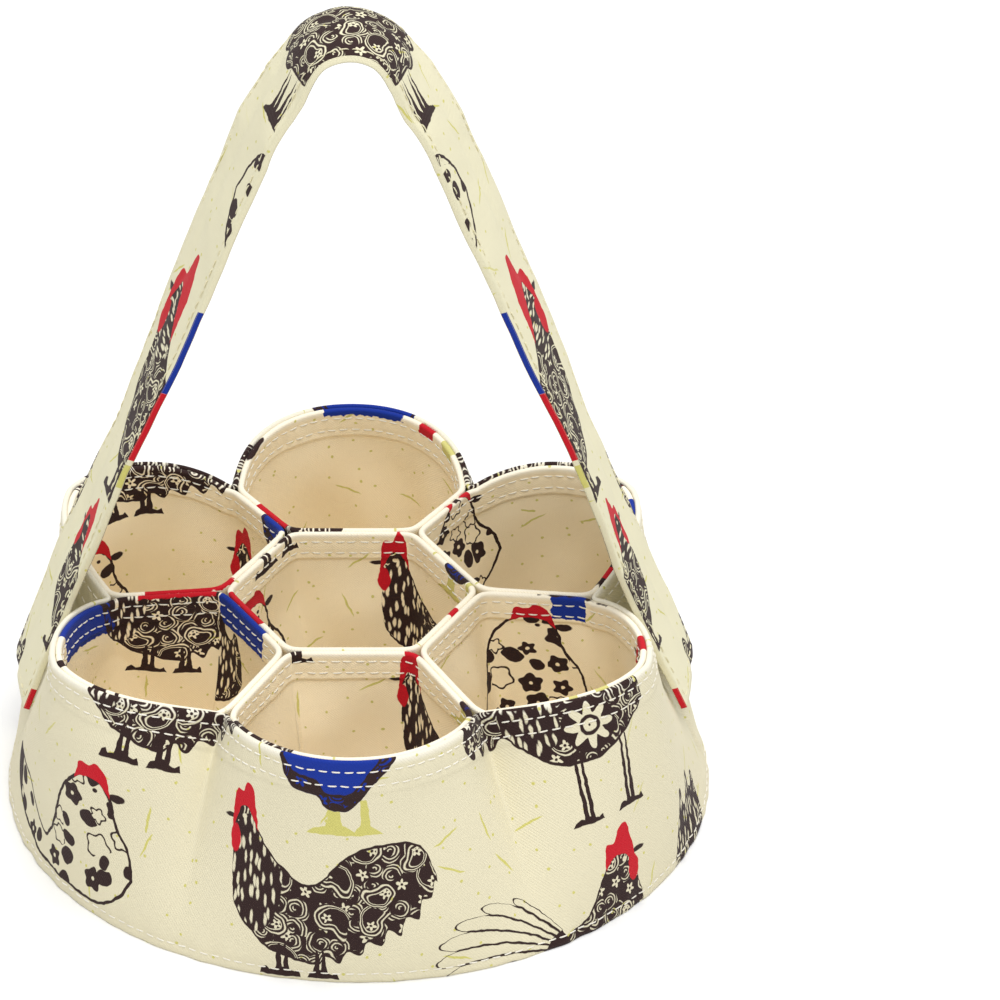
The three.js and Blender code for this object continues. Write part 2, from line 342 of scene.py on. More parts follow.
def cell_line(first_turn):
    """The middle line of a pocket's cloth at the rim; first_turn is None for the centre pocket."""
    if first_turn is None:
        line = spaced_loop(polar(CELL_SIDE, np.arange(6) * CELL_TURN), SLEEVE_COLUMNS)
    else:
        turns = np.linspace(first_turn, first_turn + CELL_TURN, 61)
        reach = np.interp(turns, np.append(wall_turns, 360), np.append(rim_reach, rim_reach[0]))
        lobe = polar(reach - WALL_HEM / 2, turns)
        ends = polar(CELL_SIDE, np.array([first_turn, first_turn + CELL_TURN]))
        line = spaced_loop(np.vstack([ends[:1], lobe, ends[1:]]), SLEEVE_COLUMNS)
    along = np.roll(line, -1, axis=0) - np.roll(line, 1, axis=0)
    inward = unit(np.column_stack([-along[:, 1], along[:, 0]]))
    clearance = 0.04 * MM
    return rounded_loop(line + inward * (SLEEVE_HEM / 2 + clearance), CORNER_RADIUS)


def sleeve_surface(line, middle):
    """surface(height) of a pocket sleeve that hangs from a rim line to the base lining."""
    length = math.hypot(*middle)
    foot_middle = middle * (1 + FOOT_SPREAD / length) if length > 0 else middle
    foot = (rounded_loop(line, 7 * MM) - middle) * FOOT_SCALE + foot_middle
    top = rim_height(np.linalg.norm(line, axis=1))
    along = np.arange(len(line)) * loop_length(line) / len(line)
    inward = unit(foot_middle - foot)
    fold = waves(5, 22 * MM, 48 * MM)
    pleat = waves(6, 9 * MM, 16 * MM)

    def surface(height):
        share = np.clip(height / BAND_HEIGHT, 0, 1.02)
        ease = 1 - np.clip(1 - share, 0, 1) ** 1.6
        flat = foot + (line - foot) * ease
        depth = smooth_step(1, 0.55, share)
        low = smooth_step(0.45, 0.0, share)
        push = SLEEVE_FOLD * depth * (fold(along, height * 0.4) + 0.5)
        push = push + SLEEVE_PLEAT * low * pleat(along, 0)
        by_row = bell(height, BAND_HEIGHT - RIM_ROWS[1], PUCKER_REACH)
        pinch = SLEEVE_PUCKER * by_row * pucker(along, 0)
        flat = flat + inward * (np.maximum(push, -1.2 * MM * depth) + pinch)[:, None]
        z = FOOT_HEIGHT + (top - FOOT_HEIGHT) * share
        return np.column_stack([flat[:, 0] - SWAY * share, flat[:, 1], z])

    return surface


def add_pocket(order, material, thread):
    name, print_at = POCKETS[order]
    first_turn = None if order == 0 else (order - 1) * CELL_TURN
    line = cell_line(first_turn)
    middle = np.zeros(2)
    if order > 0:
        middle = polar(CELL_SIDE * math.sqrt(3), first_turn + CELL_TURN / 2)
    length = loop_length(line)
    surface = sleeve_surface(line, middle)
    profile = hem_profile(BAND_HEIGHT, SLEEVE_HEM, 0.5)
    start = order * PANEL_SPACING
    mesh = hemmed_panel(f"{name}_cloth", surface, length, profile, print_at, start, print_way=-1)
    sleeve = add_object(f"{name}_cloth", mesh, material)
    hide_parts(name)
    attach(sleeve, "basket")

    rows = [panel_line(surface, BAND_HEIGHT - row, -SLEEVE_HEM / 2) for row in RIM_ROWS]
    inward_rows = [(points, -normals) for points, normals in rows]
    add_stitches(f"{name}_hem_stitches", inward_rows, f"{name}_hem_stitch", "basket", thread)


# --- Base ---

def add_base_disc(name, node, print_at, material):
    """A round of cloth in the place of a CAD disc."""
    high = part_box(node)[1]
    radius = high.x
    rings, columns, thickness = 60, 240, 0.7 * MM
    ripple_height = 0.25 * MM if high.z > 2 * MM else 0  # the lower one lies flat on the ground
    outwards = np.linspace(0.004, 1, rings)
    share = np.concatenate([outwards, outwards[::-1]])
    angle = np.arange(columns) * 2 * np.pi / columns
    reach = radius * share[:, None]
    x, y = reach * np.cos(angle), reach * np.sin(angle)
    ripple = waves(6, 30 * MM, 70 * MM)
    level = np.where(np.arange(2 * rings) < rings, high.z - thickness, high.z)[:, None]
    z = level + ripple_height * (ripple(x, y) - 1)
    z[rings - 1:rings + 1] = z[rings - 1:rings + 1].mean(axis=0)
    points = np.stack([x, y, np.maximum(z, 0)], axis=-1)
    uv = np.stack([x, y], axis=-1) / MM
    uv = np.concatenate([uv, uv[:, :1]], axis=1)
    mesh = grid_mesh(name, points, uv, uv + np.array(print_at), closed_rows=False)
    mesh.flip_normals()
    close_holes(mesh)
    disc = add_object(name, mesh, material)
    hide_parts(node)
    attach(disc, "basket")


def close_holes(mesh):
    work = bmesh.new()
    work.from_mesh(mesh)
    bmesh.ops.holes_fill(work, edges=[edge for edge in work.edges if edge.is_boundary])
    bmesh.ops.recalc_face_normals(work, faces=work.faces)
    for face in work.faces:
        face.smooth = True
    work.to_mesh(mesh)
    work.free()


# --- Strap handle ---

ARC_LENGTH = STRAP_TOP_RADIUS * (math.pi / 2 - STRAP_LEAN)
LEG_TOP = STRAP_TOP - STRAP_TOP_RADIUS * (1 - math.sin(STRAP_LEAN))
LEG_LENGTH = (LEG_TOP - STRAP_FOOT) / math.cos(STRAP_LEAN)
STRAP_REACH = ARC_LENGTH + LEG_LENGTH  # along the strap from its top to either foot


def strap_frames(along):
    """The strap's middle, and its across and out directions, at distances from its top that are
    positive on the right-hand side."""
    away = np.abs(along)
    side = np.where(along < 0, -1.0, 1.0)
    on_arc = away < ARC_LENGTH
    angle = np.where(on_arc, away / STRAP_TOP_RADIUS, math.pi / 2 - STRAP_LEAN)
    leg = np.maximum(away - ARC_LENGTH, 0)
    x = STRAP_TOP_RADIUS * np.sin(angle) + leg * math.sin(STRAP_LEAN)
    z = STRAP_TOP - STRAP_TOP_RADIUS * (1 - np.cos(angle)) - leg * math.cos(STRAP_LEAN)
    zero = np.zeros_like(x)
    travel = np.stack([-np.cos(angle), zero, side * np.sin(angle)], axis=-1)
    twist = -np.radians(np.interp(z / MM, *np.array(STRAP_TWIST).T))[:, None]
    flat = np.array([0.0, 1.0, 0.0])
    across = flat * np.cos(twist) + np.cross(travel, flat) * np.sin(twist)
    sway = np.interp(z / MM, *np.array(STRAP_SWAY).T) * MM
    middle = np.stack([side * x - sway, zero, z], axis=-1)
    return middle, across, np.cross(across, travel)


def strap_crown(across):
    """How far the strap's middle stands out at a place across it, with a soft crease."""
    share = across / STRAP_WIDTH
    return STRAP_CROWN * (1 - (2 * share - 1) ** 2 - bell(share, 0.66, 0.09))


def strap_section():
    """Points round the strap's section, as (across, outwards from the middle, print position)."""
    half = STRAP_THICKNESS / 2
    face = np.linspace(0.3 * MM, STRAP_WIDTH - 0.3 * MM, 25)
    outer = [(a, half + strap_crown(a), a) for a in face]
    far = [(STRAP_WIDTH, half * k, STRAP_WIDTH + (1 - k) * half) for k in (0.75, 0, -0.75)]
    inner = [(a, -half + strap_crown(a), 2 * STRAP_WIDTH + 2 * half - a) for a in face[::-1]]
    near = [(0, half * k, -half + k * half) for k in (-0.75, -0.25, 0.25, 0.75)]
    return np.array(outer + far + inner + near)


def strap_line(along, across, outwards):
    """A line on the strap and its outward directions; any of the three may be an array."""
    middle, side, out = strap_frames(along)
    to_front = (1 - across / STRAP_WIDTH) ** 2
    droop = STRAP_DROOP * bell(middle[:, 2], DROOP_HEIGHT, DROOP_REACH) * to_front
    sideways = np.broadcast_to(across - STRAP_WIDTH / 2, along.shape)[:, None]
    return middle + side * sideways + out * (outwards - droop)[:, None], out


def add_strap(material, thread):
    section = strap_section()
    along = np.linspace(STRAP_REACH, -STRAP_REACH, 560)
    ripple = waves(6, 25 * MM, 70 * MM)
    edge_wave = waves(6, 9 * MM, 20 * MM)
    rows = []
    for across, outwards, _ in section:
        wavy = 0.25 * MM * ripple(along, across) + 0.07 * MM * edge_wave(along, across)
        rows.append(strap_line(along, across, outwards + wavy)[0])
    points = np.stack(rows)[::-1]
    prints = np.append(section[::-1, 2], 2 * section[0, 2] - section[1, 2]) / MM
    mesh = grid_mesh("strap_cloth", points, uv_grid(along / MM, prints),
                     uv_grid(np.abs(along) / MM, prints), closed_columns=False)
    close_holes(mesh)
    strap = add_object("strap_cloth", mesh, material)
    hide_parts("handle_strap", "strap_end_right", "strap_end_left")
    bend_at_pivot(strap)

    front_row, back_row = STRAP_ROW, STRAP_WIDTH - STRAP_ROW
    row_end = STRAP_REACH - TACK_LENGTH - 2 * MM
    for place, across in (("back", back_row), ("front", front_row)):
        row = strap_row(np.linspace(row_end, -row_end, 900), across)
        stitches = add_stitches(f"strap_stitches_{place}", [row], f"handle_stitch_{place}", None,
                                thread, closed=False)
        bend_at_pivot(stitches)
    for place, side in (("right", 1), ("left", -1)):
        low = side * (STRAP_REACH - STRAP_ROW)
        high = side * (STRAP_REACH - TACK_LENGTH)
        rows = [
            strap_row(np.linspace(high, low, 60), np.full(60, front_row)),
            strap_row(np.full(60, low), np.linspace(front_row, back_row, 60)),
            strap_row(np.linspace(low, high, 60), np.full(60, back_row)),
        ]
        add_stitches(f"strap_tack_stitches_{place}", rows, f"strap_tack_{place}", "basket",
                     thread, closed=False)


def strap_row(along, across):
    return strap_line(along, across, STRAP_THICKNESS / 2 + strap_crown(across))


def bend_at_pivot(piece):
    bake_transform(piece)


# --- Stitches ---

def add_stitches(name, rows, node, body, material, closed=True):
    """Short arched stitches along rows of (points, directions away from the cloth)."""
    centres, tangents, aways = [], [], []
    for points, normals in rows:
        if closed:
            points = np.vstack([points, points[:1]])
            normals = np.vstack([normals, normals[:1]])
        steps = np.linalg.norm(np.diff(points, axis=0), axis=1)
        along = np.concatenate([[0], np.cumsum(steps)])
        count = int(along[-1] / STITCH_PITCH)
        at = (np.arange(count) + 0.5) * along[-1] / count
        at = at + rng.uniform(-0.25, 0.25, count) * MM

        def sample(values, where):
            return np.stack([np.interp(where, along, values[:, k]) for k in range(3)], axis=1)

        centres.append(sample(points, at))
        half = STITCH_LENGTH / 2
        tangents.append(sample(points, at + half) - sample(points, at - half))
        aways.append(unit(sample(normals, at)))
    mesh = stitch_mesh(name, np.vstack(centres), unit(np.vstack(tangents)), np.vstack(aways))
    piece = add_object(name, mesh, material)
    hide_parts(node)
    if body is not None:
        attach(piece, body)
    return piece


def stitch_mesh(name, centres, tangents, aways):
    """Arched pieces of thread that dip into the cloth at both ends."""
    count, rings, sides = len(centres), 7, 6
    rise, dip = 0.30 * MM, 0.16 * MM
    across = unit(np.cross(aways, tangents))
    slant = rng.uniform(-0.10, 0.10, count)[:, None]
    tangents = unit(tangents + across * slant)
    place = np.linspace(-1, 1, rings)
    arch = rise * (1 - place**4) - dip
    width = STITCH_RADIUS * np.sqrt(np.clip(1.08 - np.abs(place) ** 5, 0.02, 1))
    angle = np.arange(sides) * 2 * np.pi / sides
    ring = (centres[:, None] + tangents[:, None] * (place * STITCH_LENGTH / 2)[None, :, None]
            + aways[:, None] * arch[None, :, None])
    round_way = (across[:, None] * np.cos(angle)[None, :, None]
                 + 0.8 * aways[:, None] * np.sin(angle)[None, :, None])
    points = ring[:, :, None] + round_way[:, None] * width[None, :, None, None]
    faces = []
    for start in range(0, count * rings * sides, rings * sides):
        for here in range(start, start + (rings - 1) * sides, sides):
            for k in range(sides):
                beside = (k + 1) % sides
                faces.append((here + k, here + beside, here + sides + beside, here + sides + k))
        last = start + (rings - 1) * sides
        faces.append(tuple(start + k for k in reversed(range(sides))))
        faces.append(tuple(last + k for k in range(sides)))
    mesh = bpy.data.meshes.new(name)
    mesh.from_pydata(points.reshape(-1, 3).tolist(), [], faces)
    mesh.polygons.foreach_set("use_smooth", np.ones(len(mesh.polygons), bool))
    mesh.update()
    return mesh


def add_wall_stitches(thread):
    for name, node, height in (
        ("rim_stitches_upper", "rim_stitch_upper", BAND_HEIGHT - RIM_ROWS[0]),
        ("rim_stitches_lower", "rim_stitch_lower", BAND_HEIGHT - RIM_ROWS[1]),
        ("base_stitches", "base_stitch", BASE_ROW),
    ):
        offset = PLY / 2 + (0.1 * MM if height > BASE_ROW else 0)
        row = panel_line(wall_surface, height, offset)
        add_stitches(name, [row], node, "basket", thread)


# --- Shader nodes ---

def linear(code):
    """A colour from its six-digit code, as the shader wants it."""
    parts = [int(code[i:i + 2], 16) / 255 for i in (0, 2, 4)]
    return tuple(c / 12.92 if c <= 0.04045 else ((c + 0.055) / 1.055) ** 2.4 for c in parts) + (1,)


class Nodes:
    """Adds nodes to a new material; each method returns the new node's output socket."""

    def __init__(self, name):
        self.material = bpy.data.materials.new(name)
        self.material.use_nodes = True
        self.tree = self.material.node_tree
        self.shader = self.tree.nodes["Principled BSDF"]

    def add(self, kind, inputs, output=0, **settings):
        node = self.tree.nodes.new(f"ShaderNode{kind}")
        for name, value in settings.items():
            setattr(node, name, value)
        for socket, value in inputs.items():
            self.feed(node.inputs[socket], value)
        return node.outputs[output]

    def feed(self, socket, value):
        if isinstance(value, bpy.types.NodeSocket):
            self.tree.links.new(value, socket)
        else:
            socket.default_value = value

    def math(self, operation, *values):
        return self.add("Math", dict(enumerate(values)), operation=operation)

    def minus(self, value, other):
        return self.math("SUBTRACT", value, other)

    def times(self, value, factor):
        return self.math("MULTIPLY", value, factor)

    def scaled(self, value, factor, offset):
        """value * factor + offset"""
        return self.math("MULTIPLY_ADD", value, factor, offset)

    def least(self, *values):
        """Of distances inside shapes, the distance inside all of them."""
        return functools.reduce(lambda one, other: self.math("MINIMUM", one, other), values)

    def most(self, *values):
        """Of distances inside shapes, the distance inside any of them."""
        return functools.reduce(lambda one, other: self.math("MAXIMUM", one, other), values)

    def vector(self, operation, *values):
        output = "Value" if operation in ("LENGTH", "DOT_PRODUCT") else "Vector"
        return self.add("VectorMath", dict(enumerate(values)), output, operation=operation)

    def split(self, vector):
        node = self.tree.nodes.new("ShaderNodeSeparateXYZ")
        self.feed(node.inputs[0], vector)
        return node.outputs[0], node.outputs[1]

    def polar(self, x, y):
        """Distance from the origin, and the angle round it in radians."""
        away = self.vector("LENGTH", self.add("CombineXYZ", {0: x, 1: y}))
        return away, self.math("ARCTAN2", y, x)

    def ramp(self, value, low, high, to_low=0.0, to_high=1.0):
        return self.add("MapRange", {"Value": value, "From Min": low, "From Max": high,
                                     "To Min": to_low, "To Max": to_high}, clamp=True)

    def mix(self, share, below, above):
        return self.add("Mix", {0: share, 6: below, 7: above}, 2, data_type="RGBA")

    def noise(self, vector, size, detail=2.0, output="Fac"):
        return self.add("TexNoise", {"Vector": vector, "Scale": 1 / size, "Detail": detail}, output,
                        noise_dimensions="2D")

    def point_distance(self, vector, size):
        """The distance to the nearest of many scattered points, as a share of their spacing."""
        return self.add("TexVoronoi", {"Vector": vector, "Scale": 1 / size}, "Distance",
                        voronoi_dimensions="2D")

    def profile(self, x, points, smooth=True):
        """A height over x, through given points, both as shares of a motif's size."""
        node = self.tree.nodes.new("ShaderNodeFloatCurve")
        curve = node.mapping.curves[0]
        for place, (px, py) in enumerate(points):
            if place < 2:
                curve.points[place].location = (px, py)
            else:
                curve.points.new(px, py)
        for point in curve.points:
            point.handle_type = "AUTO_CLAMPED" if smooth else "VECTOR"
        node.mapping.extend = "HORIZONTAL"
        node.mapping.update()
        self.feed(node.inputs["Value"], x)
        return node.outputs[0]

    def oval(self, x, y, middle, radii):
        """Distance inside an upright oval, in the units of its radii."""
        point = self.add("CombineXYZ", {0: x, 1: y})
        away = self.add("Mapping", {0: point, "Location": (*middle, 0), "Scale": (*radii, 1)},
                        vector_type="TEXTURE")
        return self.scaled(self.vector("LENGTH", away), -min(radii), min(radii))


# --- The print: farmyard birds drawn in ink, from given outlines ---

# Each bird is drawn in millimetres in a box of its size. back and belly are the upper and lower
# outlines from left to right; they cross just outside both ends. comb and legs are heights too.
# neck, beak, wattle and eye are ovals, each a middle and its radii, and the neck has streaked
# feathers instead of ornament. tip is how much of the left end is solid ink. A fan of tail feathers
# has its root, its reach and its lean in degrees, and a bloom, a large light flower, has its
# middle and radius.
ROOSTER = dict(
    size=76, style="dark",
    back=[(2, 49), (4, 56), (7, 60), (10, 57), (13, 51), (18, 44), (24, 39), (30, 36), (35, 37),
          (40, 42.5), (47, 48.5), (55, 51), (63, 51.5), (69, 50), (73, 45), (76, 33)],
    belly=[(2, 51), (2.6, 38), (3, 27), (6, 20), (11, 15), (16, 10.5), (22, 8.5), (28, 6.5), (34, 6),
           (37, 9.5), (41, 7), (44, 11.5), (48, 10), (51, 15.5), (55, 13.5), (58, 19.5), (62, 17.5),
           (64, 24), (68, 23), (70, 30), (73, 30), (74.5, 36), (76, 35)],
    comb=[(0, 0), (1.4, 42), (2.2, 58), (4, 64.5), (6.2, 64), (8, 67.5), (10.4, 66), (11.8, 59),
          (13, 44), (14.4, 10), (76, 0)],
    wattle=((3.2, 46.5), (2.1, 5.0)), beak=((1.2, 54), (3.0, 1.0)), neck=((11, 36), (11, 21)),
    eye=((7, 55), (0.9, 0.8)),
    legs=[(14, 0), (14.6, 2.6), (16.4, 3.4), (17.4, 2), (19.4, 2.6), (20.4, 13), (21.4, 13), (21.6, 4),
          (22.4, 4), (22.6, 13), (23.6, 13), (24, 2.6), (26, 2), (27, 3), (28, 0), (30, 0), (31, 2.6),
          (32.4, 3), (33.2, 12), (34.2, 12), (34.4, 4), (35.2, 4), (35.4, 12), (36.4, 12), (37, 2.6),
          (38.6, 2), (40, 3), (41, 0)],
)
CRESTED_ROOSTER = dict(ROOSTER, neck=((9, 50), (8, 13)), comb=[
    (0, 0), (1.0, 44), (1.6, 57), (3.4, 61.5), (6, 61.6), (8, 66), (10.6, 70), (12.6, 66), (14.4, 61),
    (15.4, 52), (16.2, 30), (17.0, 6), (76, 0)])
HEN = dict(
    size=74, style="dark",
    back=[(0, 36), (2, 43), (7, 47.5), (14, 48), (22, 45), (30, 43), (38, 44), (45, 49), (51, 57),
          (55, 62.5), (59, 64), (63, 62), (66, 56), (69, 49), (72, 42), (74, 33)],
    belly=[(0, 38), (2, 34), (5, 31.5), (8, 35), (12, 30.5), (16, 34), (20, 30), (24, 33.5), (28, 29.5),
           (31, 27), (35, 23.5), (42, 21), (50, 21), (58, 23.5), (66, 28), (72, 33), (74, 35)],
    comb=[(0, 0), (50, 30), (52, 58), (54.5, 66), (57.5, 65.5), (60, 69), (63, 68), (65.5, 61), (67, 46),
          (68, 10), (74, 0)],
    wattle=((67, 53.5), (2.0, 4.2)), beak=((69.5, 59.5), (3.2, 1.1)), neck=((33, 38), (9, 12)),
    eye=((62, 59.5), (0.9, 0.8)), bloom=((51, 33), 8.5),
    legs=[(38, 0), (39, 1.8), (41, 2.8), (42.6, 2), (43.0, 25), (43.9, 25), (44.1, 3), (44.9, 3),
          (45.1, 25), (46.0, 25), (46.4, 1.9), (48, 1.4), (49.4, 2.4), (50, 0), (56, 0), (57, 2.0),
          (58.6, 2.8), (60.0, 2.2), (60.4, 26), (61.3, 26), (61.5, 3), (62.3, 3), (62.5, 26), (63.4, 26),
          (63.8, 2.2), (65.6, 1.6), (67, 2.6), (68, 0)],
)
PULLET = dict(
    size=44, style="spotted",
    back=[(3, 20), (7, 34), (13, 40), (22, 41.5), (30, 38), (37, 29), (41, 19)],
    belly=[(3, 22), (8, 12), (15, 5), (23, 3), (31, 7), (37, 13), (41, 21)],
)
ROOSTING_HEN = dict(
    size=74, style="dark",
    back=[(4, 40), (12, 60), (24, 68), (44, 68), (58, 60), (70, 40)],
    belly=[(4, 42), (8, 32), (13, 23), (19, 17.5), (24, 19.5), (29, 16.5), (34, 18.5), (40, 16), (46, 19),
           (52, 19.5), (60, 24), (66, 32), (70, 42)],
    legs=[(39, 0), (40, 2), (42.4, 3), (43.2, 5), (44.6, 20), (46, 20), (45, 6), (45.8, 4), (48, 4), (49, 6),
          (50.6, 20), (52, 20), (50.6, 5), (51.4, 2.6), (53, 2), (54, 0)],
)
SPOTTED_HEN = dict(
    size=96, style="spotted", tip=14,
    back=[(3, 26.5), (6, 28.5), (12, 28), (18, 27), (25, 25.5), (30, 20), (36, 15.5), (41, 14), (44, 17),
          (47, 22), (50, 30), (53, 38), (58, 45), (63, 49), (68, 50), (73, 47.5), (76, 43), (77, 38),
          (79, 33), (83, 27.5), (85.5, 21), (86.5, 14)],
    belly=[(3, 28.5), (6, 21), (12, 13), (19, 9), (26, 7), (34, 5), (42, 4), (56, 3.4), (63, 3.2), (70, 3.0),
           (77, 5.5), (82.5, 10.5), (85.5, 16), (86.5, 18)],
    comb=[(0, 0), (57, 0), (60, 40), (61.4, 49), (63.5, 53.4), (66.4, 53), (69, 54.6), (72, 53),
          (74.4, 49.5), (75.4, 42), (76, 10), (77, 0)],
    eye=((69.5, 45), (0.9, 0.8)), beak=((77.6, 44.6), (3.0, 1.5)),
)
FAN_ROOSTER = dict(
    size=84, style="dark",
    back=[(43, 18), (46, 24), (50, 26), (55, 27.5), (60, 32), (64, 38), (68, 43.5), (72, 46), (76, 45),
          (79, 41), (81, 34), (83, 26), (84, 18)],
    belly=[(43, 20), (47, 13), (53, 8), (61, 5), (70, 6), (78, 12), (83, 18), (84, 21)],
    comb=[(0, 0), (66, 28), (67.4, 45), (69, 50.5), (71.6, 50), (74, 54), (77.4, 55.5), (79.4, 50),
          (80.6, 40), (82, 12), (84, 0)],
    wattle=((79.4, 38), (2.4, 5)), beak=((82.4, 43.5), (2.8, 1.0)), eye=((75.6, 42.4), (1.0, 0.9)),
    fan=((52, 17), 52, 150),
)
BLUE_HEN = dict(
    size=48, style="blue",
    back=[(0, 24), (2, 34), (6, 40), (11, 42.5), (16, 41), (22, 37), (30, 36), (37, 39), (43, 44),
          (47, 45), (48, 38)],
    belly=[(0, 26), (3, 18), (8, 14.5), (13, 14), (16, 10), (22, 9), (27, 12), (31, 17), (39, 25),
           (46, 36), (48, 40)],
    comb=[(0, 0), (1.6, 20), (2.6, 41), (4.4, 46.5), (7.4, 46), (10, 48), (13.6, 47), (15.6, 40),
          (17, 10), (48, 0)],
    wattle=((2.2, 33), (1.6, 3.2)), beak=((0.6, 38), (2.6, 1.0)),
    legs=[(9, 0), (11, 1.6), (13, 2.6), (16.0, 3.6), (17.4, 12), (20.6, 12), (21.4, 3.8), (24, 2.6),
          (25.4, 1.4), (26, 2.4), (27.4, 4), (27.6, 13), (29.8, 13), (30.6, 3.4), (33, 2), (35, 0)],
)
PLUME = dict(
    size=36, style="dark", neck=((17, 20), (11, 17)),
    back=[(4, 9), (5, 16), (7, 23), (9.5, 31), (11, 35), (12.6, 30), (15, 27), (18, 30), (20.4, 35.4),
          (22.6, 29), (25, 27), (27.6, 31), (30, 24), (31, 12)],
    belly=[(4, 11), (6, 5), (10, 2), (15, 0.5), (21, 1.5), (26, 4), (30, 10), (31, 14)],
)

PRINT_TILE = (WALL_LENGTH / 2 / MM, 150)
# Bird, the middle of its box on the cloth, its turn, 1 or -1 where it is mirrored, its scale.
PRINT_LAYOUT = (
    (ROOSTER, (176, 38), 0, 1, 0.96),
    (SPOTTED_HEN, (66, 50), 0, 1, 1),
    (HEN, (265, 75), 0, 1, 1),
    (ROOSTER, (112, 98), 0, 1, 1),
    (FAN_ROOSTER, (250, 20), 0, 1, 1),
    (BLUE_HEN, (184, 78), 0, 1, 1),
    (PLUME, (328, 8.5), 0, 1, 1.1),
)
STRAP_LAYOUT = (
    (ROOSTING_HEN, (6, 19), 90, -1, 1),
    (PULLET, (69, -7), 90, -1, 1),
    (CRESTED_ROOSTER, (140, -17), 90, -1, 1.25),
    (CRESTED_ROOSTER, (218, -11), 90, -1, 0.8),
    (PLUME, (204, 47), 90, -1, 1.1),
    (PLUME, (277, 38), 90, -1, 1.1),
)
# Inks of the strap's folded front edge: ink, and where it starts and ends, from the strap's top.
STRAP_EDGE_INKS = (("blue", 110, 142), ("red", 142, 169), ("olive", 171, 180), ("red", 263, 275))
# Bits of coloured print that reach the rims of the pockets: the pocket's place in POCKETS, ink,
# and where it starts and ends along the sleeve and up it.
RIM_ACCENTS = (
    (4, "red", 1, 27, 79.0, 82), (4, "blue", 36, 72, 67, 82), (4, "blue", 196, 224, 68, 82),
    (0, "red", 122, 143, 78.8, 82), (0, "red", 222, 227, 70, 82), (3, "red", 160, 192, 79.0, 82),
    (2, "red", 62, 69, 76, 82), (2, "blue", 76, 104, 77.5, 82), (2, "red", 168, 186, 79.0, 82),
    (2, "olive", 50, 57, 76, 82), (1, "blue", 52, 84, 76, 82), (1, "red", 44, 49, 74, 82),
    (6, "blue", 150, 162, 70, 82), (5, "red", 186, 192, 72, 82),
)
# The inks from the lowest layer up. Four more names are places: a "neck" with streaked feathers,
# a "bloom" left light and a "plain" part without ornament in the dark ink, and "clear" cloth that
# birds keep off.
INK_COLORS = (("olive", "C9C352"), ("blue", "0D2F93"), ("dark", "2F1C1A"), ("pen", "2F1C1A"),
              ("red", "C40F22"))
OLIVE_COVER = 0.8

# Millimetres on the cloth.
OUTLINE = 1.1
INK_BLUR = 0.12
DRAWING_WOBBLE = (1.0, 1.0, 0)
ACCENT_WOBBLE = (3.0, 2.0, 0)
DROP_SPACING = 15.0
FILLING_SPACING = 6.5
SPOT_SPACING = 9.4
STRAW_SPACING = 21.0
SPECK_SPACING = 10.5
STREAK_WIDTH = 1.9
STREAK_LENGTH = 7.5
TWILL_PITCH = 0.86
PLAIN_PITCH = 1.0
# Where the paler band on a hem's folded edge fades in, in millimetres up the panel: partly the fold's whiter
# yarn, partly a painted highlight.
HEM_EDGE = (BAND_HEIGHT / MM - 2.6, BAND_HEIGHT / MM - 0.9)

FEATHER_TURN = 4.2  # half of a tail feather's turn in a fan
FAN_SPREAD = 29  # the fan's turn to each side
BLOOM_PETALS = 8.0


def pen_line(nodes, value, half_width):
    """The distance inside a line that runs where a value is zero."""
    return nodes.minus(half_width, nodes.math("ABSOLUTE", value))


def slab(nodes, value, low, high):
    """How far a value is inside a range."""
    return pen_line(nodes, nodes.minus(value, (low + high) / 2), (high - low) / 2)


def strap_edge(nodes, panel):
    """Bars of ink on the folded edge, and a mask that keeps the birds off it."""
    along, across = nodes.split(panel)
    along = nodes.math("ABSOLUTE", along)
    folded = nodes.scaled(across, -1.0, -0.3)
    bars = [(ink, nodes.least(slab(nodes, along, start, end), folded))
            for ink, start, end in STRAP_EDGE_INKS]
    return [("clear", folded)] + bars


def rim_accents(nodes, panel):
    wobble = nodes.noise(panel, 2.5, 2.0, "Color")
    along, height = nodes.split(nodes.vector("MULTIPLY_ADD", wobble, ACCENT_WOBBLE, panel))
    half_x, half_y = ACCENT_WOBBLE[0] / 2, ACCENT_WOBBLE[1] / 2
    shapes = []
    for order, ink, start, end, low, high in RIM_ACCENTS:
        start, end = (order * PANEL_SPACING + place + half_x for place in (start, end))
        over_rim = high + half_y + 3
        shapes.append((ink, nodes.least(slab(nodes, along, start, end),
                                        slab(nodes, height, low + half_y, over_rim))))
    return shapes


def place_bird(nodes, cloth, bird, middle, turn, mirror, scale, tile):
    """A point of the cloth in a bird's own frame, as shares of its size."""
    own = nodes.vector("SUBTRACT", cloth, (*middle, 0))
    if tile:
        reach = (tile[0] / 2, tile[1] / 2, 1)
        own = nodes.vector("WRAP", own, reach, tuple(-r for r in reach))
    size = bird["size"] * scale
    own = nodes.add("Mapping", {0: own, "Location": (0.5, 0.5, 0),
                                "Rotation": (0, 0, math.radians(turn)),
                                "Scale": (mirror / size, 1 / size, 1)})
    return nodes.split(own)


def shrunk(points, size):
    return [(x / size, y / size) for x, y in points]


def inset_outline(points, distance):
    """An outline moved by a distance to its right-hand side, for an even pen line."""
    line = np.array(points, float)
    along = unit(np.gradient(line, axis=0))
    moved = line + np.column_stack([along[:, 1], -along[:, 0]]) * distance
    keep = np.concatenate([[True], np.diff(np.maximum.accumulate(moved[:, 0])) > 0])
    return moved[keep].tolist()


def around(nodes, x, y, bird, middle):
    """Distance from a point of a bird's box in millimetres, and the angle round it."""
    return nodes.polar(nodes.scaled(x, bird["size"], -middle[0]),
                       nodes.scaled(y, bird["size"], -middle[1]))


